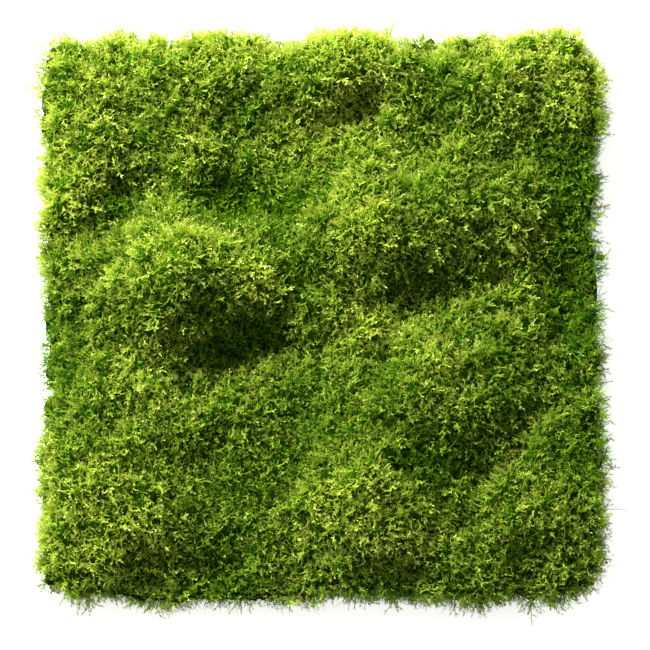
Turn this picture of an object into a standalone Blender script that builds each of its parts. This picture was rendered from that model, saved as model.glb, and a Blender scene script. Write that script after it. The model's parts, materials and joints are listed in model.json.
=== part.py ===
"""Moss clump: a square of feather moss, lifted off the ground and laid flat.

Two pieces: the living green moss, whose solid reaches the tips of its shoots, and the brown base of old
stems and humus that it grew on. Metres, +Z up, +Y towards the back edge, origin under the middle.
"""

import math

import bmesh
import bpy
from mathutils import Vector, noise

# Driving dimensions
WIDTH = 0.306  # tip to tip, along X
DEPTH = 0.314  # tip to tip, along Y
BASE_THICK = 0.007  # the brown base, from the ground up
GAP = 0.0003  # between the two pieces
PLATEAU = 0.029  # top of the green moss between the hummocks
SIDE_HEIGHT = 0.017  # where the green sides stand out furthest
SHOULDER = 0.019  # width of the rounded shoulder inside the edge
GREEN_TUCK = 0.005  # how far the green sides draw in at their foot
BASE_INSET = 0.013  # the brown base's edge, inside the green outline
BASE_BEVEL = 0.002

# The higher the number, the squarer the corner
CORNER_POWER = {"back_left": 22.0, "back_right": 14.0, "front_left": 12.0, "front_right": 13.0}

# The hummocks and hollows of the top: name, centre X and Y, half widths along X and Y, turn, rise
HUMMOCKS = [
    ("left_mound", -0.078, 0.019, 0.038, 0.036, 10, 0.028),
    ("long_ridge", 0.034, 0.048, 0.058, 0.029, 20, 0.019),
    ("ridge_knob", 0.020, 0.078, 0.022, 0.017, 30, 0.006),
    ("middle_mound", 0.055, -0.048, 0.054, 0.038, 32, 0.015),
    ("front_mound", 0.022, -0.104, 0.032, 0.028, 15, 0.012),
    ("front_left_rise", -0.110, -0.084, 0.044, 0.036, 15, 0.009),
    ("left_rise", -0.118, -0.036, 0.026, 0.022, 10, 0.006),
    ("centre_left_rise", -0.040, -0.050, 0.026, 0.018, 25, 0.005),
    ("back_left_rise", -0.092, 0.122, 0.044, 0.024, -4, 0.007),
    ("back_left_knob", -0.084, 0.096, 0.020, 0.012, 0, 0.004),
    ("back_rise", -0.004, 0.130, 0.040, 0.018, 8, 0.010),
    ("back_right_rise", 0.076, 0.126, 0.040, 0.020, -5, 0.010),
    ("right_knob", 0.100, 0.058, 0.018, 0.016, 20, 0.004),
    ("front_right_rise", 0.110, -0.094, 0.034, 0.028, 30, 0.009),
    ("mound_foot_hollow", -0.045, -0.022, 0.044, 0.013, 4, -0.008),
    ("mound_back_hollow", -0.107, 0.064, 0.034, 0.012, 42, -0.009),
    ("mound_right_hollow", -0.042, 0.064, 0.026, 0.016, -20, -0.006),
    ("back_valley", 0.014, 0.107, 0.026, 0.011, 35, -0.009),
    ("back_left_valley", -0.052, 0.104, 0.030, 0.009, 5, -0.004),
    ("ridge_foot_hollow", 0.060, 0.010, 0.046, 0.012, 18, -0.006),
    ("middle_foot_hollow", 0.089, -0.076, 0.034, 0.012, 45, -0.006),
    ("right_edge_hollow", 0.124, 0.020, 0.022, 0.040, 0, -0.005),
    ("front_left_edge_hollow", -0.062, -0.142, 0.056, 0.022, 0, -0.008),
]

HUMMOCK_STEEPNESS = 1.35  # above 1 a hummock has a flatter top and steeper sides

# How finely the top and the sides are divided, and how lumpy they are
TOP_CELLS = 44
SIDE_ROWS = 3
EDGE_CROWDING = 1.3  # above 1 the top's rows crowd towards the edge
LUMP_SIZE = 0.016
LUMP_HEIGHT = 0.0022
EDGE_WAVE = 0.0026
EDGE_WAVE_SIZE = 0.030

GREEN = (0.150, 0.270, 0.022, 1.0)
BROWN = (0.085, 0.055, 0.028, 1.0)


def clear_scene():
    for old in list(bpy.data.objects):
        bpy.data.objects.remove(old, do_unlink=True)


def corner_power(a, b):
    """The outline's power in a direction, blended between the four corners."""
    right = 0.5 + 0.5 * max(-1.0, min(1.0, 2 * a))
    back = 0.5 + 0.5 * max(-1.0, min(1.0, 2 * b))
    front_mix = (1 - right) * CORNER_POWER["front_left"] + right * CORNER_POWER["front_right"]
    back_mix = (1 - right) * CORNER_POWER["back_left"] + right * CORNER_POWER["back_right"]
    return (1 - back) * front_mix + back * back_mix


def on_outline(a, b, inset=0.0, wave=EDGE_WAVE):
    """The point of the wavy rounded square in the direction of (a, b), a point on a square of half width 1."""
    power = corner_power(a, b)
    reach = 1.0 / (abs(a) ** power + abs(b) ** power) ** (1.0 / power)
    point = Vector((a * WIDTH, b * DEPTH)) * reach / 2
    ripple = noise.noise(Vector((point.x, point.y, 0.0)) / EDGE_WAVE_SIZE)
    return point * (1 - (inset + wave * (0.6 - ripple)) / point.length)


def hummocks_at(x, y):
    """The rise of all hummocks together at a point of the top."""
    total = 0.0
    for _, cx, cy, half_x, half_y, turn, rise in HUMMOCKS:
        c, s = math.cos(math.radians(turn)), math.sin(math.radians(turn))
        along = (c * (x - cx) + s * (y - cy)) / half_x
        across = (c * (y - cy) - s * (x - cx)) / half_y
        total += rise * math.exp(-(along**2 + across**2) ** HUMMOCK_STEEPNESS)
    return total


def shoulder(inside):
    """From 0 at the edge to 1 on the plateau, as a quarter round."""
    t = min(1.0, inside / SHOULDER)
    return math.sqrt(1 - (1 - t) ** 2)


def top_height(x, y, inside):
    """Height of the green moss at a point, inside metres in from its edge."""
    lump = noise.noise(Vector((x, y, 0.4)) / LUMP_SIZE) * LUMP_HEIGHT
    crown = PLATEAU + hummocks_at(x, y) + lump
    return SIDE_HEIGHT + (crown - SIDE_HEIGHT) * shoulder(inside)


def top_point(column, row):
    """A vertex of the top: the grid is a square whose rings follow the outline."""
    u, v = 2 * column / TOP_CELLS - 1, 2 * row / TOP_CELLS - 1
    ring = max(abs(u), abs(v))
    if ring == 0:
        return Vector((0, 0, top_height(0, 0, WIDTH / 2)))
    rim = on_outline(u / ring, v / ring)
    share = 1 - (1 - ring) ** EDGE_CROWDING
    place = rim * share
    return Vector((place.x, place.y, top_height(place.x, place.y, (1 - share) * WIDTH / 2)))


def rim_steps():
    """Column and row of the grid's edge vertices, once round, counter-clockwise from the front left corner."""
    n = TOP_CELLS
    front = [(i, 0) for i in range(n)]
    right = [(n, i) for i in range(n)]
    back = [(n - i, n) for i in range(n)]
    left = [(0, n - i) for i in range(n)]
    return front + right + back + left


def rim_direction(column, row):
    """A grid edge vertex as a point on a square of half width 1."""
    return 2 * column / TOP_CELLS - 1, 2 * row / TOP_CELLS - 1


def add_wall(bm, upper, lower):
    """Joins two rings of vertices with a strip of faces that point outwards."""
    for i, top in enumerate(upper):
        j = (i + 1) % len(upper)
        bm.faces.new((lower[i], lower[j], upper[j], top))


def finish_object(name, bm, colour, roughness):
    bmesh.ops.recalc_face_normals(bm, faces=bm.faces)
    mesh = bpy.data.meshes.new(name)
    bm.to_mesh(mesh)
    bm.free()
    mesh.shade_smooth()
    mesh.set_sharp_from_angle(angle=math.radians(60))
    material = bpy.data.materials.new(name)
    material.use_nodes = True
    shader = material.node_tree.nodes["Principled BSDF"]
    shader.inputs["Base Color"].default_value = colour
    shader.inputs["Roughness"].default_value = roughness
    mesh.materials.append(material)
    made = bpy.data.objects.new(name, mesh)
    bpy.context.scene.collection.objects.link(made)
    return made


def build_green_moss():
    """The living moss, from its flat underside to the tips of its shoots."""
    bm = bmesh.new()
    n = TOP_CELLS
    grid = [[bm.verts.new(top_point(column, row)) for row in range(n + 1)] for column in range(n + 1)]
    for column in range(n):
        for row in range(n):
            corners = (
                grid[column][row],
                grid[column + 1][row],
                grid[column + 1][row + 1],
                grid[column][row + 1],
            )
            bm.faces.new(corners)
    foot = BASE_THICK + GAP
    ring = [grid[column][row] for column, row in rim_steps()]
    for side_row in range(1, SIDE_ROWS + 1):
        t = side_row / SIDE_ROWS
        tuck = GREEN_TUCK * (1 - math.sqrt(1 - (0.98 * t) ** 2))
        height = SIDE_HEIGHT + (foot - SIDE_HEIGHT) * t
        lower = []
        for column, row in rim_steps():
            place = on_outline(*rim_direction(column, row), inset=tuck)
            lower.append(bm.verts.new((place.x, place.y, height)))
        add_wall(bm, ring, lower)
        ring = lower
    bm.faces.new(list(reversed(ring)))
    return finish_object("green_moss", bm, GREEN, 0.75)


def build_brown_base():
    """The mat of old stems and humus under the green moss, flat on top and underneath."""
    bm = bmesh.new()
    rings = []
    levels = [
        (BASE_INSET + BASE_BEVEL, 0.0),
        (BASE_INSET, BASE_BEVEL),
        (BASE_INSET, BASE_THICK - BASE_BEVEL),
        (BASE_INSET + BASE_BEVEL, BASE_THICK),
    ]
    for inset, height in levels:
        ring = []
        for column, row in rim_steps()[::2]:
            place = on_outline(*rim_direction(column, row), inset=inset, wave=2 * EDGE_WAVE)
            ring.append(bm.verts.new((place.x, place.y, height)))
        rings.append(ring)
    for lower, upper in zip(rings, rings[1:]):
        add_wall(bm, upper, lower)
    bm.faces.new(list(reversed(rings[0])))
    bm.faces.new(rings[-1])
    return finish_object("brown_base", bm, BROWN, 0.95)


def centre_on_origin(pieces):
    """Moves all the pieces by the same step, so that the middle of the clump's box is over the origin."""
    xs = [v.co.x for piece in pieces for v in piece.data.vertices]
    ys = [v.co.y for piece in pieces for v in piece.data.vertices]
    step = Vector((-(min(xs) + max(xs)) / 2, -(min(ys) + max(ys)) / 2, 0))
    for piece in pieces:
        for vertex in piece.data.vertices:
            vertex.co += step


def main():
    clear_scene()
    centre_on_origin([build_green_moss(), build_brown_base()])


main()
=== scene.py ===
"""Moss clump: feather moss grown shoot by shoot over its hummocks, on its brown base of old stems.

Run as a script, it builds the whole clump and its stage. Each step is an operator in the sidebar's Moss Clump
panel, and its sizes and colours are properties there. Metres, +Z up, +Y towards the back edge.
"""
import json
import math
import random

import bmesh
import bpy
from bpy.props import FloatProperty, FloatVectorProperty, IntProperty, PointerProperty
from mathutils import Matrix, Vector

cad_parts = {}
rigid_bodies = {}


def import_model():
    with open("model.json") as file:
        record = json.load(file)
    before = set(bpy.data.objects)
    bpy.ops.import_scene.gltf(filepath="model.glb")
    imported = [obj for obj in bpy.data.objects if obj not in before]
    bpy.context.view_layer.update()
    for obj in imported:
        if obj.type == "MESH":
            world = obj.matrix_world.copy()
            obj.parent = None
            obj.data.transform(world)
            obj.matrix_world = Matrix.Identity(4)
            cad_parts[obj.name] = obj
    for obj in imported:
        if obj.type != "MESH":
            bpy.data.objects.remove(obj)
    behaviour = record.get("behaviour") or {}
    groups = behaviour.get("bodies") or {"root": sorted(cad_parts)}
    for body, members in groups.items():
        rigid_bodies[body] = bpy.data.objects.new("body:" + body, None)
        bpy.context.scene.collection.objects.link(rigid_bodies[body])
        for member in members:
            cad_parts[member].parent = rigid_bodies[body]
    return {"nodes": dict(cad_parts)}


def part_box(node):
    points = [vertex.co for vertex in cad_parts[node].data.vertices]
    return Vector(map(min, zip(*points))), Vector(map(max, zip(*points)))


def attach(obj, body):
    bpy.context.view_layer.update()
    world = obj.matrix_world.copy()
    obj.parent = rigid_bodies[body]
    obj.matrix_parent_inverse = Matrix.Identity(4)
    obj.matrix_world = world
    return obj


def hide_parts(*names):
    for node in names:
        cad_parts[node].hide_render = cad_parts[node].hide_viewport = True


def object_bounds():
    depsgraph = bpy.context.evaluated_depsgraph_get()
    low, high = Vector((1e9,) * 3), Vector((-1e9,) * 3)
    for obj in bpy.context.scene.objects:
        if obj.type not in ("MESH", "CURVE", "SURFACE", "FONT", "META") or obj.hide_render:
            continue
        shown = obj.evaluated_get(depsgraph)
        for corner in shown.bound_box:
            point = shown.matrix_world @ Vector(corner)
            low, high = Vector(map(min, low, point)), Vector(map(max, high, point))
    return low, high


bl_info = {
    "name": "Moss Clump",
    "version": (1, 0, 0),
    "blender": (4, 5, 0),
    "location": "View3D > Sidebar > Moss Clump",
    "description": "Grows a square mat of feather moss over its hummocks",
    "category": "Add Mesh",
}

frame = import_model()
CAD_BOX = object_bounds()
GREEN_LOW, GREEN_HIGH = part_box("green_moss")
REACH = max(GREEN_HIGH)  # a cube of this half width round the origin holds the whole clump
BODY = "root"

# The map that every shoot carries: across is its tint, up is how far along the shoot a point lies
TINT_MAP = "OFBake"
LEAF_MAP_HALF = 0.005  # half the width that one leaf takes on the map
MAP_MARGIN = 0.03  # kept clear along the map's edges
GROUND_GAP = 0.0004  # the least height of a shoot above the ground
LOWEST_ROOT = GREEN_LOW.z + 0.0006  # no shoot roots lower than this
PER_CM2 = 1e4  # square centimetres in a square metre


# ---- Properties ----

def amount(name, default, description, **options):
    return FloatProperty(name=name, default=default, min=0.0, description=description, **options)


def length(name, default, description):
    return amount(name, default, description, unit="LENGTH")


def angle(name, degrees, description):
    return FloatProperty(name=name, default=math.radians(degrees), subtype="ANGLE", description=description)


def colour(name, default, description):
    return FloatVectorProperty(name=name, default=default, size=3, min=0.0, max=1.0, subtype="COLOR",
                               description=description)


class MossBedSettings(bpy.types.PropertyGroup):
    """The dark inside of the mat, which the shoots grow from, painted dark as the shade deep in the mat."""

    depth: length("Depth", 0.0050, "How far the bed lies below the tips of the shoots")
    tuft_size: length("Tuft Size", 0.0125, "Width of one soft tuft")
    tuft_height: length("Tuft Height", 0.0065, "How far a tuft stands above the crevices round it")
    rim_depth: length("Rim Depth", 0.0030, "How much further the ragged rim draws in here and there")
    patch_relief: length("Patch Relief", 0.0035, "How far a pale patch stands up, and a green one sinks")
    # Painted shade: the near-black gaps and the dark threads stand for the shade deep in the mat
    shade: colour("Shade", (0.004, 0.014, 0.0005), "Colour of the deep gaps")
    threads: colour("Threads", (0.035, 0.110, 0.004), "Colour of the old shoots deep in the mat")
    pale_threads: colour("Pale Threads", (0.092, 0.215, 0.006), "Their colour in the palest patches")


class ShootSettings(bpy.types.PropertyGroup):
    """The leafy shoots that cover the mat."""

    shoots_per_cm2: amount("Shoots per Square Centimetre", 18.4, "How closely the shoots stand")
    under_shoots_per_cm2: amount("Under Shoots per Square Centimetre", 10.2,
                                 "How closely the older shoots stand beneath the others")
    rim_shoots_per_cm2: amount("Rim Shoots per Square Centimetre", 36.0,
                               "How closely more shoots stand round the mat's sides")
    shoot_length: length("Shoot Length", 0.0070, "Length of a shoot's main stem")
    side_length: length("Side Branch Length", 0.0026, "Length of a shoot's lowest side branch")
    leaf_length: length("Leaf Length", 0.00122, "Length of one leaf")
    leaf_width: length("Leaf Width", 0.00031, "Width of one leaf")
    leaf_step: length("Leaf Step", 0.00067, "Distance along the stem from leaf to leaf")
    lean: amount("Lean", 0.95, "How far the shoots lean over")
    lift: amount("Lift", 0.25, "How far the shoots turn up to the light")
    seed: IntProperty(name="Seed", default=7, description="Another number grows another mat")
    # The dark old foot colour is partly painted shade, and the shady green and the sunny bright and tip colours
    # are painted shade and painted light
    old: colour("Old Leaves", (0.005, 0.036, 0.001), "Colour at a shoot's foot")
    green: colour("Green Leaves", (0.104, 0.262, 0.004), "Colour halfway along a shady shoot")
    bright: colour("Bright Leaves", (0.475, 0.600, 0.019), "Colour halfway along a sunny shoot")
    tip: colour("Tips", (0.660, 0.700, 0.190), "Colour of a sunny shoot's tip")
    dead: colour("Dead Leaves", (0.210, 0.185, 0.035), "Colour of a dead shoot")


class FringeSettings(bpy.types.PropertyGroup):
    """The longer sprigs and bare stems that stand clear of the edge."""

    sprigs_per_cm2: amount("Sprigs per Square Centimetre", 2.4, "How closely the long sprigs stand round the edge")
    sprig_length: length("Sprig Length", 0.0125, "Length of a long sprig's main stem")
    stems_per_cm2: amount("Stems per Square Centimetre", 1.5, "How closely the bare stems stand round the edge")
    stem_length: length("Stem Length", 0.013, "Length of a bare old stem")
    stem_thickness: length("Stem Thickness", 0.00034, "Thickness of a bare old stem")


class BrownBaseSettings(bpy.types.PropertyGroup):
    """The base of old stems and humus."""

    crumb_size: length("Crumb Size", 0.0045, "Size of the lumps in the humus")
    crumb_height: length("Crumb Height", 0.0014, "How far the lumps stand out")
    drawn_in: length("Drawn In", 0.0020, "How far its edge draws in under the moss")
    humus: colour("Humus", (0.030, 0.020, 0.010), "Colour of the dark humus")
    felt: colour("Stem Felt", (0.150, 0.098, 0.045), "Colour of the felt of old stems")


class StageSettings(bpy.types.PropertyGroup):
    """Floor, light and camera."""

    floor_colour: colour("Floor", (0.90, 0.90, 0.90), "Colour of the floor")
    floor_glow: amount("Floor Glow", 0.72, "Light given off by the floor")
    key_strength: amount("Key Light", 15.2, "Strength of the main light")
    key_distance: length("Key Distance", 1.45, "From the middle of the clump to the main light")
    key_turn: angle("Key Turn", -35, "Where the main light stands: 0 is the back, and it turns clockwise")
    key_height: angle("Key Height", 33, "Height of the main light above the floor")
    key_softness: angle("Key Softness", 10, "How wide the main light looks from the moss")
    sky_strength: amount("Sky Light", 0.57, "Strength of the even light")
    camera_height: angle("Camera Height", 78, "Angle of the camera above the floor")
    camera_distance: length("Camera Distance", 2.9, "From the camera to the middle of the clump")
    picture_width: length("Picture Width", 0.3415, "Width of what the camera sees at the clump")


SETTINGS = {
    "moss_bed": MossBedSettings,
    "moss_shoots": ShootSettings,
    "moss_fringe": FringeSettings,
    "moss_base": BrownBaseSettings,
    "moss_stage": StageSettings,
}


# ---- Nodes ----

def put(tree, kind, inputs=None, **settings):
    """Adds a node, sets its options, and joins or fills its inputs."""
    made = tree.nodes.new(kind)
    count = len(tree.nodes)
    made.location = (200 * (count % 10), -260 * (count // 10))
    for name, value in settings.items():
        setattr(made, name, value)
    for key, value in (inputs or {}).items():
        if isinstance(value, bpy.types.NodeSocket):
            tree.links.new(value, made.inputs[key])
        else:
            made.inputs[key].default_value = value
    return made


def maths(tree, operation, first, second=0.0):
    return put(tree, "ShaderNodeMath", {0: first, 1: second}, operation=operation).outputs[0]


def product(tree, first, second):
    return maths(tree, "MULTIPLY", first, second)


def difference(tree, first, second):
    return maths(tree, "SUBTRACT", first, second)


def total(tree, *values):
    """The sum of two or more numbers."""
    result = values[0]
    for value in values[1:]:
        result = maths(tree, "ADD", result, value)
    return result


def vector_maths(tree, operation, first, second=(0.0, 0.0, 0.0)):
    made = put(tree, "ShaderNodeVectorMath", {0: first, 1: second}, operation=operation)
    return made.outputs["Value"] if operation in ("DOT_PRODUCT", "LENGTH") else made.outputs["Vector"]


def vector_sum(tree, first, second):
    return vector_maths(tree, "ADD", first, second)


def level_part(tree, vector):
    return vector_maths(tree, "MULTIPLY", vector, (1.0, 1.0, 0.0))


def scaled(tree, vector, factor):
    made = put(tree, "ShaderNodeVectorMath", {0: vector, "Scale": factor}, operation="SCALE")
    return made.outputs["Vector"]


def parts_of(tree, vector):
    return put(tree, "ShaderNodeSeparateXYZ", {0: vector}).outputs


def stretch(tree, value, low, high, to_low=0.0, to_high=1.0, smooth=False):
    """Maps low..high to to_low..to_high, and holds the ends."""
    made = put(tree, "ShaderNodeMapRange", {0: value, 1: low, 2: high, 3: to_low, 4: to_high}, clamp=True,
               interpolation_type="SMOOTHSTEP" if smooth else "LINEAR")
    return made.outputs[0]


def mixed(tree, share, first, second):
    made = put(tree, "ShaderNodeMix", {0: share, 6: first, 7: second}, data_type="RGBA")
    return made.outputs[2]


def rgba(values):
    return (*values, 1.0)


def noise(tree, position, size, detail=2.0, wanted=0):
    """A cloudy pattern whose lumps are size across. wanted 1 is its vector form."""
    made = put(tree, "ShaderNodeTexNoise", {"Vector": position, "Scale": 1.0 / size, "Detail": detail})
    return made.outputs[wanted]


def height_vector(tree, value):
    return put(tree, "ShaderNodeCombineXYZ", {"Z": value}).outputs[0]


def attribute(tree, name, kind="FLOAT"):
    return put(tree, "GeometryNodeInputNamedAttribute", {"Name": name}, data_type=kind).outputs[0]


def stored(tree, geometry, name, value, domain, kind="FLOAT"):
    made = put(tree, "GeometryNodeStoreNamedAttribute", {"Geometry": geometry, "Name": name, "Value": value},
               data_type=kind, domain=domain)
    return made.outputs[0]


def position_and_normal(tree):
    place = put(tree, "GeometryNodeInputPosition").outputs[0]
    return place, put(tree, "GeometryNodeInputNormal").outputs[0]


def moved(tree, geometry, offset):
    return put(tree, "GeometryNodeSetPosition", {"Geometry": geometry, "Offset": offset}).outputs[0]


def new_geometry_tree(name, sockets):
    """A Geometry Nodes tree with a mesh in, a mesh out, and named inputs, each with its kind of socket."""
    tree = bpy.data.node_groups.new(name, "GeometryNodeTree")
    tree.interface.new_socket("Mesh", in_out="INPUT", socket_type="NodeSocketGeometry")
    for socket, kind in sockets.items():
        tree.interface.new_socket(socket, in_out="INPUT", socket_type="NodeSocket" + kind)
    tree.interface.new_socket("Mesh", in_out="OUTPUT", socket_type="NodeSocketGeometry")
    return tree, tree.nodes.new("NodeGroupInput").outputs


def finish_tree(tree, geometry, material):
    """Ends a tree in real mesh with its material."""
    real = put(tree, "GeometryNodeRealizeInstances", {"Geometry": geometry})
    finished = put(tree, "GeometryNodeSetMaterial", {"Geometry": real.outputs[0], "Material": material})
    put(tree, "NodeGroupOutput", {0: finished.outputs[0]})


def run_tree(name, source, tree, values):
    """Puts a tree on a copy of source, and returns its result as a plain mesh object at the origin."""
    carrier = bpy.data.objects.new(name + "_carrier", source)
    bpy.context.scene.collection.objects.link(carrier)
    modifier = carrier.modifiers.new("Grow", "NODES")
    modifier.node_group = tree
    for item in tree.interface.items_tree:
        if item.item_type == "SOCKET" and item.in_out == "INPUT" and item.name in values:
            modifier[item.identifier] = values[item.name]
    depsgraph = bpy.context.evaluated_depsgraph_get()
    depsgraph.update()
    mesh = bpy.data.meshes.new_from_object(carrier.evaluated_get(depsgraph))
    bpy.data.objects.remove(carrier)
    mesh.name = name
    if not mesh.polygons:
        raise RuntimeError(name + " came out empty")
    piece = bpy.data.objects.new(name, mesh)
    bpy.context.scene.collection.objects.link(piece)
    return piece


# ---- Materials ----

def new_material(name):
    material = bpy.data.materials.new(name)
    material.use_nodes = True
    material.node_tree.nodes.clear()
    return material, material.node_tree


def finish_material(tree, shader):
    put(tree, "ShaderNodeOutputMaterial", {"Surface": shader})


def ramp(tree, value, stops):
    made = put(tree, "ShaderNodeValToRGB", {0: value})
    elements = made.color_ramp.elements
    while len(elements) < len(stops):
        elements.new(0.5)
    for element, (place, shade) in zip(elements, stops):
        element.position = place
        element.color = rgba(shade)
    return made.outputs[0]


def between(first, second, share):
    return tuple(a + (b - a) * share for a, b in zip(first, second))


# Where the colours of a shoot lie on its map, from its foot to its tip
FOOT, LOWER, UPPER, TIP = 0.06, 0.34, 0.66, 0.97
BLACK = (0.0, 0.0, 0.0)


def leaf_material(name, shoots, translucency):
    """Moss leaves: old and dark at the foot, partly painted shade, green halfway, yellow-green and a little
    see-through at the tip.
    """
    material, tree = new_material(name)
    map_point = parts_of(tree, put(tree, "ShaderNodeUVMap", uv_map=TINT_MAP).outputs[0])
    tint, along = map_point[0], map_point[1]
    # The shady and sunny ramps are shaded and lit copies of the leaf colours, painted shade and painted light,
    # mixed by each shoot's tint
    shady = ramp(tree, along, [
        (FOOT, shoots.old),
        (LOWER, between(shoots.old, shoots.green, 0.55)),
        (UPPER, shoots.green),
        (TIP, between(shoots.green, shoots.bright, 0.42)),
    ])
    sunny = ramp(tree, along, [
        (FOOT, between(shoots.old, shoots.green, 0.50)),
        (LOWER, between(shoots.green, shoots.bright, 0.35)),
        (UPPER, shoots.bright),
        (TIP, shoots.tip),
    ])
    # Dead shoots grow darker towards the foot too: partly painted shade
    dead = ramp(tree, along, [
        (FOOT, between(shoots.dead, BLACK, 0.75)),
        (0.60, between(shoots.dead, BLACK, 0.30)),
        (TIP, shoots.dead),
    ])
    living = mixed(tree, stretch(tree, tint, 0.20, 0.97), shady, sunny)
    leaf = mixed(tree, stretch(tree, tint, 0.10, 0.16), dead, living)
    principled = put(tree, "ShaderNodeBsdfPrincipled", {
        "Base Color": leaf,
        "Roughness": stretch(tree, along, 0.35, 0.95, 0.80, 0.36),
        "Specular IOR Level": 0.20,
    })
    glow = put(tree, "ShaderNodeBsdfTranslucent", {"Color": leaf})
    mix = put(tree, "ShaderNodeMixShader", {0: translucency, 1: principled.outputs[0], 2: glow.outputs[0]})
    finish_material(tree, mix.outputs[0])
    return material


FIBRE_CURL = 0.004  # how far fibres curl out of a straight line


def fibres(tree, place, size, curl_size, curl_detail):
    """Crossing fibres, size across, in curls curl_size across."""
    curl = scaled(tree, noise(tree, place, curl_size, curl_detail, 1), FIBRE_CURL)
    return noise(tree, vector_sum(tree, place, curl), size, 3.0)


def rough_surface(tree, shade, roughness, height, strength, distance, specular):
    """Ends a material in a matt surface with a bump, which is distance high."""
    bump = put(tree, "ShaderNodeBump", {"Strength": strength, "Distance": distance, "Height": height})
    principled = put(tree, "ShaderNodeBsdfPrincipled", {
        "Base Color": shade,
        "Roughness": roughness,
        "Normal": bump.outputs[0],
        "Specular IOR Level": specular,
    })
    finish_material(tree, principled.outputs[0])


def bed_material(bed):
    """The deep inside of the mat: crossing threads of old green shoots over nearly black gaps, both darkened as
    painted shade of the mat's depth.
    """
    material, tree = new_material("moss_bed")
    place = put(tree, "ShaderNodeTexCoord").outputs["Object"]
    threads = fibres(tree, place, 0.0007, 0.0030, 3.0)
    clouds = stretch(tree, noise(tree, place, 0.0060, 2.0), 0.35, 0.60, 0.3, 1.0)
    light = product(tree, stretch(tree, threads, 0.46, 0.64), clouds)
    # Paler threads in the pale patches, which are partly painted light
    pale = put(tree, "ShaderNodeAttribute", attribute_name="pale").outputs["Fac"]
    thread_shade = mixed(tree, pale, rgba(bed.threads), rgba(bed.pale_threads))
    shade = mixed(tree, light, rgba(bed.shade), thread_shade)
    rough_surface(tree, shade, stretch(tree, threads, 0.3, 0.7, 0.95, 0.80), threads, 1.0, 0.0006, 0.0)
    return material


def humus_material(base):
    """Dark humus with a felt of brown stems, in fine crossing streaks."""
    material, tree = new_material("brown_base")
    place = put(tree, "ShaderNodeTexCoord").outputs["Object"]
    crumbs = noise(tree, place, 0.0030, 5.0)
    streaks = fibres(tree, place, 0.0008, 0.0060, 2.0)
    felt = product(tree, stretch(tree, streaks, 0.48, 0.64), stretch(tree, crumbs, 0.35, 0.62))
    shade = mixed(tree, felt, rgba(base.humus), rgba(base.felt))
    height = total(tree, product(tree, streaks, 0.4), crumbs)
    rough_surface(tree, shade, stretch(tree, crumbs, 0.3, 0.7, 0.80, 0.96), height, 0.9, 0.0008, 0.2)
    return material


# ---- Patches ----

# Broad patches of paler and of greener moss, partly the moss's own tone and partly painted light and shade on the
# hummocks: name, centre X and Y, half width, shift of the tint
PATCHES = [
    ("left_mound", -0.078, 0.038, 0.024, 0.74),
    ("behind_left_mound", -0.105, 0.056, 0.018, -1.45),
    ("behind_mound_right", -0.052, 0.062, 0.020, -1.30),
    ("before_ridge", -0.012, 0.058, 0.020, -0.95),
    ("mound_shadow_end", -0.038, 0.012, 0.013, 2.00),
    ("mound_shadow_side", -0.012, 0.014, 0.010, -0.70),
    ("left_mound_foot", -0.044, -0.016, 0.022, -0.70),
    ("left_edge_back", -0.134, 0.070, 0.018, 1.10),
    ("back_left", -0.112, 0.130, 0.032, 0.40),
    ("back_left_middle", -0.062, 0.088, 0.018, 0.85),
    ("back_left_edge", -0.052, 0.140, 0.024, 0.90),
    ("back_valley", -0.046, 0.112, 0.017, -0.75),
    ("left_back", -0.110, 0.089, 0.014, 0.75),
    ("behind_ridge", -0.012, 0.088, 0.018, 0.95),
    ("left_front", -0.096, -0.032, 0.028, 0.85),
    ("left_edge_front", -0.142, -0.030, 0.028, -0.90),
    ("ridge_west", 0.014, 0.066, 0.016, 0.50),
    ("ridge_face", 0.027, 0.038, 0.022, 1.00),
    ("ridge_top", 0.040, 0.062, 0.012, -0.35),
    ("ridge_shade", 0.064, 0.038, 0.014, 0.60),
    ("ridge_end", 0.110, 0.043, 0.020, 0.95),
    ("ridge_foot", 0.064, 0.010, 0.026, -0.40),
    ("middle_rise", 0.022, -0.011, 0.020, 0.75),
    ("right_edge", 0.140, 0.066, 0.034, -1.00),
    ("right_edge_middle", 0.142, 0.006, 0.024, -1.60),
    ("right_middle", 0.108, -0.014, 0.014, 0.55),
    ("right_edge_front", 0.142, -0.076, 0.020, -0.65),
    ("front_right", 0.112, -0.108, 0.016, 0.35),
    ("back_edge", 0.016, 0.139, 0.018, 1.40),
    ("back_valley_rim", 0.012, 0.113, 0.016, 0.90),
    ("back_right_edge", 0.126, 0.142, 0.036, 1.35),
    ("middle_mound_left", 0.037, -0.038, 0.014, -0.90),
    ("middle_mound_top", 0.062, -0.036, 0.015, 1.05),
    ("middle_mound_right", 0.090, -0.026, 0.018, -0.45),
    ("before_middle_mound", 0.004, -0.064, 0.020, -0.55),
    ("middle_mound_foot", 0.066, -0.084, 0.018, -0.75),
    ("front_left", -0.108, -0.112, 0.030, 1.15),
    ("front_left_slope", -0.078, -0.088, 0.013, -0.40),
    ("front_mound", 0.016, -0.092, 0.016, 0.60),
    ("front_mound_left", -0.014, -0.086, 0.012, -0.40),
    ("front_mound_foot", -0.012, -0.114, 0.012, 0.70),
    ("front_mound_right", 0.042, -0.088, 0.014, -0.60),
    ("front_edge", 0.036, -0.115, 0.024, 1.55),
    ("front_foot", 0.034, -0.144, 0.018, -0.80),
    ("front_left_edge", -0.048, -0.140, 0.020, -0.50),
]


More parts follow.
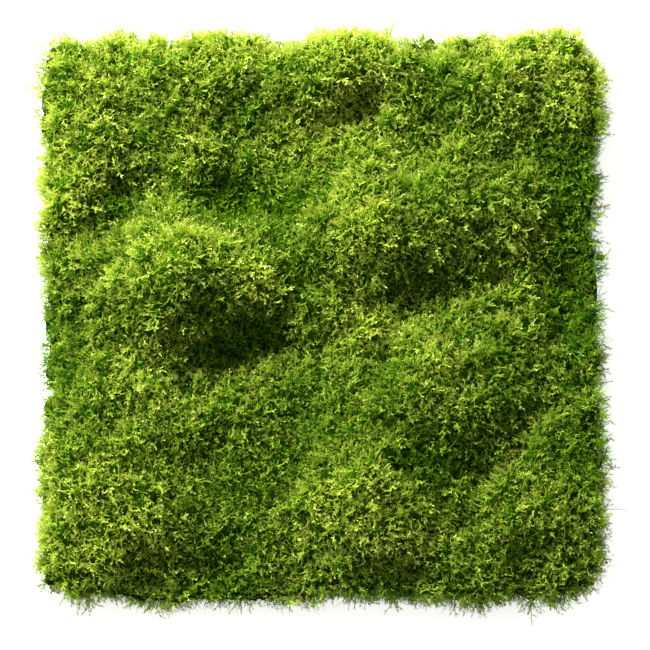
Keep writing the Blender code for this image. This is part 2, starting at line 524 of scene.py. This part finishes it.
def patch_light_and_tint(tree, place):
    """How much paler, or greener if below 0, the moss is in its broad patches: partly its own tone, partly painted
    light and shade.
    """
    shifts = []
    for _, x, y, half, shift in PATCHES:
        away = vector_maths(tree, "SUBTRACT", place, (x, y, 0.0))
        flat = vector_maths(tree, "MULTIPLY", away, (1.0 / half, 1.0 / half, 0.0))
        squared = vector_maths(tree, "DOT_PRODUCT", flat, flat)
        shifts.append(product(tree, maths(tree, "EXPONENT", product(tree, squared, -1.0)), shift))
    return total(tree, 0.0, *shifts)


# ---- Moss bed ----

def merged_copy(node, name):
    """A closed copy of a CAD node's mesh, whose own is loose triangles."""
    work = bmesh.new()
    work.from_mesh(frame["nodes"][node].data)
    bmesh.ops.remove_doubles(work, verts=work.verts, dist=1e-5)
    mesh = bpy.data.meshes.new(name)
    work.to_mesh(mesh)
    work.free()
    mesh.materials.clear()
    return mesh


def take_the_place_of(node, piece):
    """Smooths a piece, and hands it to the frame instead of a CAD node."""
    piece.data.shade_smooth()
    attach(piece, BODY)
    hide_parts(node)


TUFT_MIDDLE = 0.75  # share of a tuft's height that lies at the bed's own level
SWELL_SIZE = 0.030  # width of the broad swells between the CAD's hummocks
SWELL_HEIGHT = 0.010
RIM_SWELL = 0.0016  # how much nearer to the tips the bed's sides lie than its top
LEAST_RIM_DEPTH = 0.0020  # how far the bed's sides lie inside the tips at the least


def bed_tree(material):
    """Sinks the mat's surface below the tips, and raises it into soft tufts with crevices between them."""
    tree, given = new_geometry_tree("Moss Bed", {
        "Depth": "Float",
        "Tuft Size": "Float",
        "Tuft Height": "Float",
        "Rim Depth": "Float",
        "Patch Relief": "Float",
    })
    fine = put(tree, "GeometryNodeSubdivisionSurface", {"Mesh": given["Mesh"], "Level": 1})
    place, normal = position_and_normal(tree)
    swirl = scaled(tree, noise(tree, place, 0.02, 2.0, 1), 0.010)
    cells = put(tree, "ShaderNodeTexVoronoi", {
        "Vector": vector_sum(tree, place, swirl),
        "Scale": maths(tree, "DIVIDE", 1.0, given["Tuft Size"]),
        "Smoothness": 0.35,
    }, feature="SMOOTH_F1")
    crown = stretch(tree, cells.outputs["Distance"], 0.70, 0.08, smooth=True)
    shift = patch_light_and_tint(tree, place)
    marked = stored(tree, fine.outputs[0], "crown", crown, "POINT")
    # The pale share of the patches, partly painted light, for the bed's threads
    marked = stored(tree, marked, "pale", stretch(tree, shift, -0.3, 0.8), "POINT")

    # How far each point moves outwards: tufts, broad swells and patches over the bed's depth
    rise = product(tree, difference(tree, crown, TUFT_MIDDLE), given["Tuft Height"])
    rise = product(tree, rise, stretch(tree, noise(tree, place, 0.045, 1.0), 0.35, 0.65, 0.45, 1.25))
    broad = product(tree, difference(tree, noise(tree, place, SWELL_SIZE, 2.0), 0.5), SWELL_HEIGHT)
    out = difference(tree, total(tree, rise, broad), given["Depth"])
    out = total(tree, out, product(tree, shift, given["Patch Relief"]))

    # The top moves up, the sides draw in along their normals, and the underside shrinks towards its middle
    facing = parts_of(tree, normal)[2]
    up = stretch(tree, facing, -0.2, 0.5)
    under = stretch(tree, facing, -0.1, -0.4)
    level = level_part(tree, normal)
    steep = stretch(tree, vector_maths(tree, "LENGTH", level), 0.3, 0.9)
    ragged = stretch(tree, noise(tree, place, 0.010, 2.0), 0.38, 0.66)
    drawn_in = product(tree, ragged, given["Rim Depth"])
    sideways = total(tree, difference(tree, out, drawn_in), RIM_SWELL)
    sideways = maths(tree, "MINIMUM", sideways, -LEAST_RIM_DEPTH)
    not_under = difference(tree, 1.0, under)
    along_normal = product(tree, sideways, product(tree, steep, not_under))
    towards_middle = product(tree, sideways, maths(tree, "DIVIDE", under, REACH))
    offset = height_vector(tree, product(tree, up, out))
    offset = vector_sum(tree, offset, scaled(tree, vector_maths(tree, "NORMALIZE", level), along_normal))
    flat_place = level_part(tree, place)
    offset = vector_sum(tree, offset, scaled(tree, flat_place, towards_middle))
    finish_tree(tree, moved(tree, marked, offset), material)
    return tree


class MOSS_OT_make_bed(bpy.types.Operator):
    """Make the dark inside of the mat, which the shoots grow from"""

    bl_idname = "moss_clump.make_bed"
    bl_label = "Make Moss Bed"

    def execute(self, context):
        bed = context.scene.moss_bed
        source = merged_copy("green_moss", "moss_bed_source")
        piece = run_tree("moss_bed", source, bed_tree(bed_material(bed)), {
            "Depth": bed.depth,
            "Tuft Size": bed.tuft_size,
            "Tuft Height": bed.tuft_height,
            "Rim Depth": bed.rim_depth,
            "Patch Relief": bed.patch_relief,
        })
        bpy.data.meshes.remove(source)
        take_the_place_of("green_moss", piece)
        return {"FINISHED"}


# ---- Shoots ----

UP = Vector((0.0, 0.0, 1.0))
UPPER_FACE = Vector((0.0, 1.0, 0.0))
LEAF_HOOK = 0.16  # how far a leaf's tip bends down, as a share of its length
LEAF_UNEVEN = (0.85, 1.15)
LEAF_SPREAD = (5, 21)  # degrees from the stem
LEAF_ROLL = (-30, 50)  # degrees round the stem
LEAF_ALONG = 0.11  # how far up the map one leaf reaches
LAST_LEAF_FOOT = 0.86  # no leaf starts further up the map
BRANCH_SWAY = 1.4  # radians to either side, over the whole branch
TOP_LEAVES = (-0.17, 0.02, 0.19)  # how far to the side the leaves at a main stem's tip point
SIDE_TOP_LEAVES = (-0.11, 0.13)
FORK_ANGLE = (35, 65)  # degrees from the main stem
FORK_RISE = (-0.15, 0.3)
FORK_UNEVEN = (0.7, 1.2)
FORK_BEND = (-0.2, 1.1)  # radians
FORK_FRESHER = 0.10  # how much further up the map a side branch starts
STEM_SWAY = 2.2
STEM_TAPER = 0.6


class ShootMesh:
    """Collects the leaves and stems of one shoot, which grows along +Z with its upper face towards +Y."""

    def __init__(self, shoots, seed, size=1.0):
        self.shoots = shoots
        self.draw = random.Random(seed)
        self.size = size
        self.points = []
        self.faces = []
        self.map_points = []

    def add_face(self, corners, map_points):
        first = len(self.points)
        self.points += corners
        self.faces.append(list(range(first, first + len(corners))))
        self.map_points += map_points

    def leaf(self, foot, way, face, size, along):
        """One pointed leaf, hooked a little downwards."""
        long = self.shoots.leaf_length * size * self.size
        side = face.cross(way).normalized() * self.shoots.leaf_width * size * self.size / 2
        tip = foot + (way - face * LEAF_HOOK) * long
        start = max(MAP_MARGIN, min(LAST_LEAF_FOOT, along + self.draw.uniform(-0.07, 0.07)))
        self.add_face([foot - side, foot + side, tip],
                      [(-LEAF_MAP_HALF, start), (LEAF_MAP_HALF, start), (0.0, start + LEAF_ALONG)])

    def branch(self, foot, way, face, long, bend, along_from, along_to, forks=(), side_long=0.0, bare=0.0):
        """A leafy stem that bends away from its face. forks are (share of the length, side) of its side branches.

        The lowest share of it, bare, has no leaves.
        """
        step = self.shoots.leaf_step * self.size
        count = max(2, round(long / step))
        waiting = sorted(forks)
        sway = self.draw.uniform(-BRANCH_SWAY, BRANCH_SWAY)
        for index in range(count):
            share = (index + 0.5) / count
            side = 1 if index % 2 else -1
            across = face.cross(way).normalized()
            along = along_from + (along_to - along_from) * share
            size = (0.75 + 0.5 * math.sin(math.pi * min(1.0, share + 0.15))) * self.draw.uniform(*LEAF_UNEVEN)
            spread = math.radians(self.draw.uniform(*LEAF_SPREAD))
            roll = math.radians(self.draw.uniform(*LEAF_ROLL))
            sideways = across * side * math.cos(roll) + face * math.sin(roll)
            leaf_way = (way * math.cos(spread) + sideways * math.sin(spread)).normalized()
            leaf_face = (face - leaf_way * face.dot(leaf_way)).normalized()
            if share > bare:
                self.leaf(foot, leaf_way, leaf_face, size, along)
            if waiting and share >= waiting[0][0]:
                self.side_branch(foot, way, face, waiting.pop(0)[1], side_long * (1.15 - share), along, along_to)
            turn = Matrix.Rotation(-bend / count, 3, across) @ Matrix.Rotation(sway / count, 3, face)
            way = (turn @ way).normalized()
            face = (turn @ face).normalized()
            foot = foot + way * (long / count)
        across = face.cross(way).normalized()
        for turn in TOP_LEAVES if forks else SIDE_TOP_LEAVES:
            self.leaf(foot - way * step, (way + across * turn).normalized(), face, 0.9, along_to)

    def side_branch(self, foot, way, face, side, long, along, along_to):
        """A short branch off a stem. side is 1 or -1."""
        across = face.cross(way).normalized() * side
        spread = math.radians(self.draw.uniform(*FORK_ANGLE))
        start = way * math.cos(spread) + across * math.sin(spread) + face * self.draw.uniform(*FORK_RISE)
        start.normalize()
        upper = (face - start * face.dot(start)).normalized()
        self.branch(foot, start, upper, long * self.draw.uniform(*FORK_UNEVEN), self.draw.uniform(*FORK_BEND),
                    along + FORK_FRESHER, along_to)

    def stem(self, foot, way, face, long, thickness, bend, sides=3, rings=7):
        """A bare round stem, thinner towards its tip."""
        first = len(self.points)
        sway = self.draw.uniform(-STEM_SWAY, STEM_SWAY)
        map_rings = []
        for ring in range(rings):
            share = ring / (rings - 1)
            across = face.cross(way).normalized()
            radius = thickness / 2 * (1.0 - STEM_TAPER * share)
            for side in range(sides):
                around = math.tau * side / sides
                self.points.append(foot + (across * math.cos(around) + face * math.sin(around)) * radius)
            map_rings.append(0.25 + 0.65 * share)
            turn = Matrix.Rotation(-bend / rings, 3, across) @ Matrix.Rotation(sway / rings, 3, face)
            way = (turn @ way).normalized()
            face = (turn @ face).normalized()
            foot = foot + way * (long / (rings - 1))
        for ring in range(rings - 1):
            low_map, high_map = map_rings[ring:ring + 2]
            for side in range(sides):
                low = first + ring * sides + side
                low_next = first + ring * sides + (side + 1) % sides
                self.faces.append([low, low_next, low_next + sides, low + sides])
                self.map_points += [(-LEAF_MAP_HALF, low_map), (LEAF_MAP_HALF, low_map),
                                    (LEAF_MAP_HALF, high_map), (-LEAF_MAP_HALF, high_map)]
        self.faces.append([first + (rings - 1) * sides + side for side in range(sides)])
        self.map_points += [(-LEAF_MAP_HALF, 0.90), (LEAF_MAP_HALF, 0.90), (0.0, 0.93)]

    def to_object(self, name, collection):
        """Makes the collected faces a mesh object with its map."""
        mesh = bpy.data.meshes.new(name)
        mesh.from_pydata(self.points, [], self.faces)
        layer = mesh.uv_layers.new(name=TINT_MAP)
        layer.data.foreach_set("uv", [number for point in self.map_points for number in point])
        made = bpy.data.objects.new(name, mesh)
        collection.objects.link(made)
        return made


def under_shoot(shoots, seed):
    """A plain older shoot with large leaves and no side branches, coloured short of the tip colours, so darker:
    partly painted shade under the other shoots.
    """
    shoot = ShootMesh(shoots, seed, size=1.2)
    draw = shoot.draw
    shoot.branch(Vector(), UP, UPPER_FACE, shoots.shoot_length * draw.uniform(0.7, 0.95),
                 draw.uniform(0.3, 1.2), 0.16, 0.74)
    return shoot


FORK_END = 0.88  # no side branch starts beyond this share of the stem


def alternate_forks(draw, first, step):
    """Places and sides of side branches, left and right in turn, first and step as shares of the stem."""
    side = draw.choice((-1, 1))
    place = first * draw.uniform(0.7, 1.3)
    forks = []
    while place < FORK_END:
        forks.append((place, side))
        side = -side
        place += step * draw.uniform(0.7, 1.3)
    return forks


def short_shoot(shoots, seed):
    """A curved shoot with short side branches, left and right in turn."""
    shoot = ShootMesh(shoots, seed)
    draw = shoot.draw
    shoot.branch(Vector(), UP, UPPER_FACE, shoots.shoot_length * draw.uniform(0.8, 1.15), draw.uniform(0.3, 2.0),
                 0.08, 0.84, alternate_forks(draw, 0.26, 0.19), shoots.side_length, 0.26)
    return shoot


def long_sprig(shoots, fringe, seed):
    """A long feathery sprig with side branches on both sides."""
    shoot = ShootMesh(shoots, seed)
    draw = shoot.draw
    shoot.branch(Vector(), UP, UPPER_FACE, fringe.sprig_length * draw.uniform(0.7, 1.2), draw.uniform(-0.9, 1.5),
                 0.10, 0.86, alternate_forks(draw, 0.20, 0.13), shoots.side_length * 1.3)
    return shoot


def bare_stem(shoots, fringe, seed):
    """A wiry old stem without leaves."""
    shoot = ShootMesh(shoots, seed)
    draw = shoot.draw
    long = fringe.stem_length * draw.uniform(0.5, 1.2)
    shoot.stem(Vector(), UP, UPPER_FACE, long, fringe.stem_thickness, draw.uniform(-1.0, 2.2))
    return shoot


def collect(name, shoots):
    """A collection of source shoots, kept out of the scene."""
    collection = bpy.data.collections.new(name)
    for number, shoot in enumerate(shoots):
        shoot.to_object(f"{name}_{number}", collection)
    return collection


def drop(collection):
    for source in list(collection.objects):
        mesh = source.data
        bpy.data.objects.remove(source)
        bpy.data.meshes.remove(mesh)
    bpy.data.collections.remove(collection)


SIDE_CROWDING = 1.5  # how much closer together shoots stand on the sides
SIDE_LENGTHENING = 0.60  # how much longer the longest are on the sides
SWIRL_SIZE = 0.007  # width of a swirl, within which shoots lean much the same way
SWIRL_PULL = 2.4
LEAST_RISE = 0.30  # the least that a shoot rises above the surface that it grows from
CLOUD_TINT = 1.1
SPECKLE_TINT = 0.45
CROWN_TINT = 0.12
# Painted light: how much paler leaves are on slopes facing the key light, and darker on slopes facing away
PAINTED_LIGHT_TINT = 0.34
DEAD_TINT = 0.08  # the tint that the leaves' material shows as dead
DYING_IN_CLOUDS = 0.05  # the largest share of dead shoots in a cloud of them
DYING_IN_SHADE = 0.22


def growth_tree(name, material, collection, tint_range):
    """Grows shoots out of a surface between two corners, leaning and swirling, each with its own tint."""
    tree, given = new_geometry_tree(name, {
        "Per Square Metre": "Float",
        "Low Corner": "Vector",
        "High Corner": "Vector",
        "Steepest": "Float",
        "Flattest": "Float",
        "Lean": "Float",
        "Lift": "Float",
        "Smallest": "Float",
        "Largest": "Float",
        "Light": "Vector",
        "Seed": "Int",
    })
    place, normal = position_and_normal(tree)
    seed = given["Seed"]

    # Where shoots grow: between the corners, on slopes of the wanted steepness, closer together on the sides
    inside = inside_box(tree, place, given["Low Corner"], given["High Corner"])
    facing = parts_of(tree, normal)[2]
    not_under = maths(tree, "GREATER_THAN", facing, given["Steepest"])
    not_flat = maths(tree, "LESS_THAN", facing, given["Flattest"])
    wanted = product(tree, inside, product(tree, not_under, not_flat))
    thicker = stretch(tree, facing, -0.1, 0.5, SIDE_CROWDING, 1.0)
    density = product(tree, product(tree, given["Per Square Metre"], thicker), wanted)
    scattered = put(tree, "GeometryNodeDistributePointsOnFaces", {
        "Mesh": given["Mesh"], "Density": density, "Seed": seed,
    }, distribute_method="RANDOM")

    # Where each shoot points
    apart = drawn(tree, "FLOAT_VECTOR", (-1.0, -1.0, -1.0), (1.0, 1.0, 1.0), seed, 1)
    swirl = vector_maths(tree, "SUBTRACT", noise(tree, place, SWIRL_SIZE, 1.0, 1), (0.5, 0.5, 0.5))
    lean = vector_sum(tree, apart, scaled(tree, swirl, SWIRL_PULL))
    outward = scattered.outputs["Normal"]
    way = vector_sum(tree, outward, scaled(tree, lean, given["Lean"]))
    way = vector_maths(tree, "NORMALIZE", vector_sum(tree, way, height_vector(tree, given["Lift"])))
    above = vector_maths(tree, "DOT_PRODUCT", way, outward)
    missing = maths(tree, "MAXIMUM", difference(tree, LEAST_RISE, above), 0.0)
    way = vector_maths(tree, "NORMALIZE", vector_sum(tree, way, scaled(tree, outward, missing)))
    pointed = put(tree, "FunctionNodeAlignRotationToVector", {"Vector": way}, axis="Z")
    turned = put(tree, "FunctionNodeAlignRotationToVector", {
        "Rotation": pointed.outputs[0], "Vector": outward,
    }, axis="Y", pivot_axis="Z")

    # How large it is: larger on the crowns of the tufts, and unevenly longer on the sides
    crown = attribute(tree, "crown")
    size = drawn(tree, "FLOAT", given["Smallest"], given["Largest"], seed, 2)
    size = product(tree, size, stretch(tree, crown, 0.0, 1.0, 0.85, 1.1))
    on_side = stretch(tree, facing, 0.6, 0.2)
    uneven = stretch(tree, noise(tree, place, 0.008, 1.0), 0.38, 0.62, 0.0, SIDE_LENGTHENING)
    size = product(tree, size, total(tree, 1.0, product(tree, on_side, uneven)))
    source = put(tree, "GeometryNodeCollectionInfo", {
        "Collection": collection, "Separate Children": True, "Reset Children": True,
    })
    grown = put(tree, "GeometryNodeInstanceOnPoints", {
        "Points": scattered.outputs["Points"],
        "Instance": source.outputs[0],
        "Pick Instance": True,
        "Instance Index": drawn(tree, "INT", 0, len(collection.objects) - 1, seed, 3),
        "Rotation": turned.outputs[0],
        "Scale": size,
    })

    # Its tint: clouds, single shoots, paler crowns, painted light that makes slopes facing the key light paler and
    # those facing away darker, and patches that are partly painted light and shade
    clouds = difference(tree, noise(tree, place, 0.030, 3.0), 0.5)
    speckle = drawn(tree, "FLOAT", -0.5, 0.5, seed, 4)
    sunny = vector_maths(tree, "DOT_PRODUCT", outward, given["Light"])
    tint = total(
        tree,
        product(tree, clouds, CLOUD_TINT),
        product(tree, speckle, SPECKLE_TINT),
        stretch(tree, crown, 0.0, 1.0, -CROWN_TINT, CROWN_TINT),
        # painted light: paler on slopes that face the key light, darker on those that face away
        stretch(tree, sunny, 0.10, 0.95, -PAINTED_LIGHT_TINT, PAINTED_LIGHT_TINT),
        # the patches: partly the moss's own tone, partly painted light and shade
        patch_light_and_tint(tree, place),
    )
    low, high = tint_range
    tint = stretch(tree, tint, -0.60, 0.60, low, high)

    # Some shoots are dead: a few in clouds, and more on the sides away from the light
    dying = stretch(tree, noise(tree, place, 0.018, 2.0), 0.50, 0.70, 0.00, DYING_IN_CLOUDS)
    shaded_side = product(tree, on_side, stretch(tree, sunny, -0.6, 0.0, DYING_IN_SHADE, 0.0))
    dying = total(tree, dying, shaded_side)
    alive = maths(tree, "GREATER_THAN", drawn(tree, "FLOAT", 0.0, 1.0, seed, 5), dying)
    tint = maths(tree, "MAXIMUM", product(tree, tint, alive), DEAD_TINT)
    marked = stored(tree, grown.outputs[0], "tint", tint, "INSTANCE")
    real = put(tree, "GeometryNodeRealizeInstances", {"Geometry": marked}).outputs[0]
    own_tint = put(tree, "ShaderNodeCombineXYZ", {"X": attribute(tree, "tint")}).outputs[0]
    shifted = vector_sum(tree, attribute(tree, TINT_MAP, "FLOAT_VECTOR"), own_tint)
    mapped = stored(tree, real, TINT_MAP, shifted, "CORNER", "FLOAT2")
    finish_tree(tree, above_ground(tree, mapped), material)
    return tree


def above_ground(tree, geometry):
    """Lays whatever hangs lower than the ground on it."""
    height = parts_of(tree, put(tree, "GeometryNodeInputPosition").outputs[0])[2]
    sunk = maths(tree, "MAXIMUM", difference(tree, GROUND_GAP, height), 0.0)
    return moved(tree, geometry, height_vector(tree, sunk))


def inside_box(tree, place, low, high):
    """1 above the low corner and between the two corners' sides, and 0 elsewhere."""
    above = parts_of(tree, vector_maths(tree, "SUBTRACT", place, low))
    below = parts_of(tree, vector_maths(tree, "SUBTRACT", high, place))
    least = above[2]
    for value in (above[0], above[1], below[0], below[1]):
        least = maths(tree, "MINIMUM", least, value)
    return maths(tree, "GREATER_THAN", least, 0.0)


# The first input and the output of each kind of random value
RANDOM_SOCKETS = {"FLOAT_VECTOR": (0, 0), "FLOAT": (2, 1), "INT": (4, 2)}


def drawn(tree, kind, low, high, seed, step):
    """A random value for each point, between low and high."""
    first, output = RANDOM_SOCKETS[kind]
    inputs = {first: low, first + 1: high, "Seed": maths(tree, "ADD", seed, step)}
    return put(tree, "FunctionNodeRandomValue", inputs, data_type=kind).outputs[output]


def grow(name, tree, per_cm2, size, slopes, lean, lift, seed, low=(-1, -1), high=(1, 1)):
    """Grows one layer out of the bed, and hands it to the frame.

    low and high are corners as shares of REACH, and slopes the steepest and the flattest slope, as the upward
    part of the normal.
    """
    piece = run_tree(name, bpy.data.objects["moss_bed"].data, tree, {
        "Per Square Metre": per_cm2 * PER_CM2,
        "Low Corner": (low[0] * REACH, low[1] * REACH, LOWEST_ROOT),
        "High Corner": (high[0] * REACH, high[1] * REACH, REACH),
        "Steepest": slopes[0],
        "Flattest": slopes[1],
        "Lean": lean,
        "Lift": lift,
        "Smallest": size[0],
        "Largest": size[1],
        "Light": light_way(bpy.context.scene.moss_stage),
        "Seed": seed,
    })
    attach(piece, BODY)


# Each quarter's low and high corner, as shares of REACH
QUARTERS = {
    "back_left": ((-1, 0), (0, 1)),
    "back_right": ((0, 0), (1, 1)),
    "front_left": ((-1, -1), (0, 0)),
    "front_right": ((0, -1), (1, 0)),
}
EVERY_SLOPE = (-0.80, 1.1)
RIM_SLOPES = (-0.75, 0.35)
FRINGE_SLOPES = (-0.6, 0.45)
LEAF_TINTS = (0.20, 0.95)
SPRIG_TINTS = (0.25, 0.85)
STEM_TINTS = (0.05, 0.12)
SHORT_KINDS = 16
LONG_KINDS = 8
STEM_KINDS = 5


class MOSS_OT_make_shoots(bpy.types.Operator):
    """Grow the leafy shoots, a quarter of the mat at a time, and the older ones under and round them"""

    bl_idname = "moss_clump.make_shoots"
    bl_label = "Grow Shoots"

    def execute(self, context):
        shoots = context.scene.moss_shoots
        material = leaf_material("moss_leaves", shoots, 0.40)
        first = shoots.seed * 100
        kinds = collect("short_shoot", [short_shoot(shoots, first + kind) for kind in range(SHORT_KINDS)])
        tree = growth_tree("Shoots", material, kinds, LEAF_TINTS)
        for number, (quarter, (low, high)) in enumerate(QUARTERS.items()):
            grow("shoots_" + quarter, tree, shoots.shoots_per_cm2, (0.55, 1.10), EVERY_SLOPE,
                 shoots.lean, shoots.lift, shoots.seed + 10 * number, low, high)
        drop(kinds)
        kinds = collect("under_shoot", [under_shoot(shoots, 300 + kind) for kind in range(SHORT_KINDS)])
        tree = growth_tree("Under Shoots", material, kinds, LEAF_TINTS)
        grow("under_shoots", tree, shoots.under_shoots_per_cm2, (0.80, 1.15), EVERY_SLOPE,
             shoots.lean * 1.8, 0.0, shoots.seed + 50)
        grow("rim_shoots", tree, shoots.rim_shoots_per_cm2, (0.70, 1.20), RIM_SLOPES,
             shoots.lean, 0.0, shoots.seed + 90)
        drop(kinds)
        return {"FINISHED"}


class MOSS_OT_make_fringe(bpy.types.Operator):
    """Grow the long sprigs and the bare old stems that stand clear of the edge"""

    bl_idname = "moss_clump.make_fringe"
    bl_label = "Grow Fringe"

    def execute(self, context):
        shoots = context.scene.moss_shoots
        fringe = context.scene.moss_fringe
        kinds = collect("long_sprig", [long_sprig(shoots, fringe, 500 + kind) for kind in range(LONG_KINDS)])
        tree = growth_tree("Fringe Sprigs", leaf_material("fringe_leaves", shoots, 0.45), kinds, SPRIG_TINTS)
        grow("fringe_sprigs", tree, fringe.sprigs_per_cm2, (0.40, 0.85), FRINGE_SLOPES,
             0.7, 0.0, shoots.seed + 60)
        drop(kinds)
        kinds = collect("bare_stem", [bare_stem(shoots, fringe, 700 + kind) for kind in range(STEM_KINDS)])
        tree = growth_tree("Old Stems", leaf_material("old_stems", shoots, 0.10), kinds, STEM_TINTS)
        grow("old_stems", tree, fringe.stems_per_cm2, (0.45, 0.90), FRINGE_SLOPES,
             1.3, -0.1, shoots.seed + 80)
        drop(kinds)
        return {"FINISHED"}


# ---- Brown base ----

CRUMB_STRETCH = 2.0  # the noise stays within half of its range
FLAT_FOOT = 0.0015  # below this the crumbs fade out, so that the underside stays flat


def base_tree(material):
    """Roughens the base's edge into crumbs, and leaves its underside flat."""
    tree, given = new_geometry_tree("Brown Base", {
        "Crumb Size": "Float",
        "Crumb Height": "Float",
        "Drawn In": "Float",
    })
    cut = put(tree, "GeometryNodeSubdivideMesh", {"Mesh": given["Mesh"], "Level": 1})
    place, normal = position_and_normal(tree)
    crumbs = put(tree, "ShaderNodeTexNoise", {
        "Vector": place,
        "Scale": maths(tree, "DIVIDE", 1.0, given["Crumb Size"]),
        "Detail": 4.0,
    })
    out = product(tree, difference(tree, crumbs.outputs[0], 0.5), given["Crumb Height"])
    out = product(tree, product(tree, out, CRUMB_STRETCH), stretch(tree, parts_of(tree, place)[2], 0.0, FLAT_FOOT))
    level = level_part(tree, normal)
    at_edge = stretch(tree, vector_maths(tree, "LENGTH", level), 0.1, 0.4)
    from_middle = vector_maths(tree, "NORMALIZE", level_part(tree, place))
    inwards = scaled(tree, from_middle, product(tree, given["Drawn In"], -1.0))
    offset = vector_sum(tree, scaled(tree, normal, out), scaled(tree, inwards, at_edge))
    finish_tree(tree, moved(tree, cut.outputs[0], offset), material)
    return tree


class MOSS_OT_make_base(bpy.types.Operator):
    """Make the brown base of old stems and humus"""

    bl_idname = "moss_clump.make_base"
    bl_label = "Make Brown Base"

    def execute(self, context):
        base = context.scene.moss_base
        source = merged_copy("brown_base", "humus_source")
        piece = run_tree("humus_base", source, base_tree(humus_material(base)), {
            "Crumb Size": base.crumb_size,
            "Crumb Height": base.crumb_height,
            "Drawn In": base.drawn_in,
        })
        bpy.data.meshes.remove(source)
        take_the_place_of("brown_base", piece)
        return {"FINISHED"}


# ---- Stage ----

FLOOR_HALF = 12.0
FLOOR_ROUGHNESS = 0.9
SKY_COLOUR = (1.0, 0.99, 0.97)
SENSOR_WIDTH = 36.0  # millimetres, as the lens is
AIM_SHIFT = Vector((0.0016, -0.0078, 0.0))  # from the clump's middle to where the camera aims


class MOSS_OT_make_stage(bpy.types.Operator):
    """Make the floor, the light and the camera"""

    bl_idname = "moss_clump.make_stage"
    bl_label = "Make Stage"

    def execute(self, context):
        stage = context.scene.moss_stage
        make_floor(context, stage)
        make_lights(context, stage)
        make_camera(context, stage)
        context.scene.view_settings.view_transform = "Standard"
        return {"FINISHED"}


def light_way(stage):
    """From the clump towards the main light."""
    return Vector((
        math.sin(stage.key_turn) * math.cos(stage.key_height),
        math.cos(stage.key_turn) * math.cos(stage.key_height),
        math.sin(stage.key_height),
    ))


def make_floor(context, stage):
    mesh = bpy.data.meshes.new("floor")
    corners = [(x * FLOOR_HALF, y * FLOOR_HALF, 0.0) for x, y in ((-1, -1), (1, -1), (1, 1), (-1, 1))]
    mesh.from_pydata(corners, [], [(0, 1, 2, 3)])
    floor = bpy.data.objects.new("floor", mesh)
    context.scene.collection.objects.link(floor)
    material, tree = new_material("floor")
    principled = put(tree, "ShaderNodeBsdfPrincipled", {
        "Base Color": rgba(stage.floor_colour),
        "Roughness": FLOOR_ROUGHNESS,
        "Specular IOR Level": 0.1,
        "Emission Color": rgba(stage.floor_colour),
        "Emission Strength": stage.floor_glow,
    })
    finish_material(tree, principled.outputs[0])
    mesh.materials.append(material)


def make_lights(context, stage):
    lamp = bpy.data.lights.new("key_light", "AREA")
    lamp.shape = "DISK"
    lamp.size = 2 * stage.key_distance * math.tan(stage.key_softness / 2)
    lamp.energy = stage.key_strength * math.pi * stage.key_distance ** 2
    key = bpy.data.objects.new("key_light", lamp)
    context.scene.collection.objects.link(key)
    towards = light_way(stage)
    key.location = towards * stage.key_distance
    key.rotation_euler = towards.to_track_quat("Z", "Y").to_euler()
    world = bpy.data.worlds.new("studio")
    world.use_nodes = True
    sky = world.node_tree.nodes["Background"]
    sky.inputs["Color"].default_value = rgba(SKY_COLOUR)
    sky.inputs["Strength"].default_value = stage.sky_strength
    context.scene.world = world


def make_camera(context, stage):
    lens = bpy.data.cameras.new("camera")
    lens.sensor_width = SENSOR_WIDTH
    lens.lens = SENSOR_WIDTH * stage.camera_distance / stage.picture_width
    lens.clip_end = 100.0
    camera = bpy.data.objects.new("camera", lens)
    context.scene.collection.objects.link(camera)
    back = Vector((0.0, -math.cos(stage.camera_height), math.sin(stage.camera_height)))
    low, high = CAD_BOX
    aim = (low + high) / 2 + AIM_SHIFT
    camera.location = aim + back * stage.camera_distance
    camera.rotation_euler = back.to_track_quat("Z", "Y").to_euler()
    context.scene.camera = camera


# ---- Panel and registration ----

class MOSS_PT_clump(bpy.types.Panel):
    """The steps of the moss clump, each with its sizes and colours"""

    bl_idname = "MOSS_PT_clump"
    bl_label = "Moss Clump"
    bl_space_type = "VIEW_3D"
    bl_region_type = "UI"
    bl_category = "Moss Clump"

    def draw(self, context):
        for operator, group in STEPS:
            box = self.layout.box()
            box.operator(operator.bl_idname)
            settings = getattr(context.scene, group)
            for name in settings.__annotations__:
                box.prop(settings, name)


STEPS = [
    (MOSS_OT_make_bed, "moss_bed"),
    (MOSS_OT_make_shoots, "moss_shoots"),
    (MOSS_OT_make_fringe, "moss_fringe"),
    (MOSS_OT_make_base, "moss_base"),
    (MOSS_OT_make_stage, "moss_stage"),
]
CLASSES = [*SETTINGS.values(), *(operator for operator, group in STEPS), MOSS_PT_clump]


def register():
    for made in CLASSES:
        bpy.utils.register_class(made)
    for name, group in SETTINGS.items():
        setattr(bpy.types.Scene, name, PointerProperty(type=group))


def unregister():
    for name in SETTINGS:
        delattr(bpy.types.Scene, name)
    for made in reversed(CLASSES):
        bpy.utils.unregister_class(made)


def main():
    register()
    bpy.ops.moss_clump.make_bed()
    bpy.ops.moss_clump.make_shoots()
    bpy.ops.moss_clump.make_fringe()
    bpy.ops.moss_clump.make_base()
    bpy.ops.moss_clump.make_stage()


if __name__ == "__main__":
    main()
